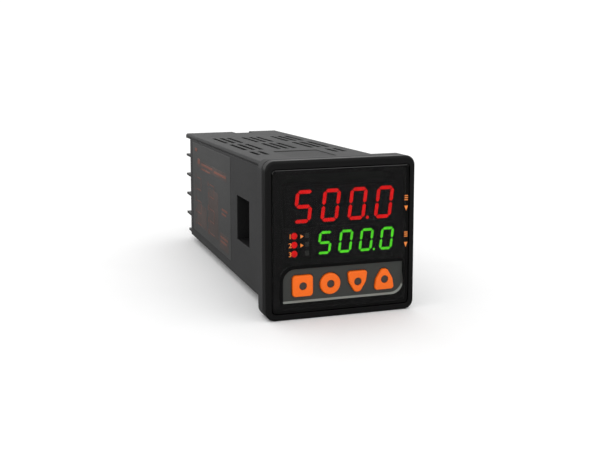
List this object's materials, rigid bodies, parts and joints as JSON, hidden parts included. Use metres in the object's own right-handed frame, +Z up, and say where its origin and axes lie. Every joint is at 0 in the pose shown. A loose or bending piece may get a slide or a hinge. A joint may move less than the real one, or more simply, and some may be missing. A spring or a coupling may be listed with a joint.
{
  "type": "panel-mounted temperature controller",
  "caption": "Square panel-mounted temperature controller with red and green numeric displays, orange keys, a deep vented case and finned screw terminals.",
  "frame": {"origin": "centre of the panel plane, at the back face of the bezel flange", "axes": "+X right seen from the front, +Y to the rear along the case, +Z up"},
  "size_m": [0.048, 0.12, 0.048],
  "materials": {
    "case_plastic": "fine moulded texture, dark grey",
    "bezel_plastic": "polished black",
    "window_plastic": "smoked, polished",
    "panel_plastic": "satin dark grey",
    "key_plastic": "satin orange",
    "switch_plastic": "plain",
    "display_plastic": "black display face",
    "segment_red": "lit red resin",
    "segment_green": "lit green resin",
    "segment_unlit": "unlit resin",
    "board_laminate": "green laminate",
    "relay_plastic": "black moulding",
    "ferrite": "grey ferrite",
    "bobbin_plastic": "taped winding",
    "capacitor_can": "sleeved can",
    "plated_steel": "zinc plated"
  },
  "bodies": {
    "housing": {"bulk_capacitor": "capacitor_can", "case": "case_plastic", "control_board": "board_laminate", "control_header": "switch_plastic", "display_board": "board_laminate", "front_bezel": "bezel_plastic", "front_window": "window_plastic", "key_panel": "panel_plastic", "lamp_holder": "display_plastic", "lower_dark_segments": "segment_unlit", "lower_display": "display_plastic", "lower_lit_segments": "segment_green", "output_lamps": "segment_red", "output_relay_1": "relay_plastic", "output_relay_2": "relay_plastic", "output_relay_3": "relay_plastic", "power_board": "board_laminate", "power_header": "switch_plastic", "processor": "relay_plastic", "smoothing_capacitor": "capacitor_can", "status_lamps": "segment_unlit", "switch_cycle": "switch_plastic", "switch_down": "switch_plastic", "switch_set": "switch_plastic", "switch_up": "switch_plastic", "terminal_block_left": "case_plastic", "terminal_block_right": "case_plastic", "terminal_plates": "plated_steel", "terminal_screws": "plated_steel", "terminal_washers": "plated_steel", "transformer_bobbin": "bobbin_plastic", "transformer_core": "ferrite", "upper_dark_segments": "segment_unlit", "upper_display": "display_plastic", "upper_lit_segments": "segment_red"},
    "set_key": {"key_set": "key_plastic", "plunger_set": "switch_plastic"},
    "cycle_key": {"key_cycle": "key_plastic", "plunger_cycle": "switch_plastic"},
    "down_key": {"key_down": "key_plastic", "plunger_down": "switch_plastic"},
    "up_key": {"key_up": "key_plastic", "plunger_up": "switch_plastic"}
  },
  "joints": [
    {"name": "set_key_press", "type": "slide", "parent": "housing", "child": "set_key", "axis": [0, 1, 0], "range_m": [0, 0.0003], "stiffness_N_per_m": 4000},
    {"name": "cycle_key_press", "type": "slide", "parent": "housing", "child": "cycle_key", "axis": [0, 1, 0], "range_m": [0, 0.0003], "stiffness_N_per_m": 4000},
    {"name": "down_key_press", "type": "slide", "parent": "housing", "child": "down_key", "axis": [0, 1, 0], "range_m": [0, 0.0003], "stiffness_N_per_m": 4000},
    {"name": "up_key_press", "type": "slide", "parent": "housing", "child": "up_key", "axis": [0, 1, 0], "range_m": [0, 0.0003], "stiffness_N_per_m": 4000}
  ]
}
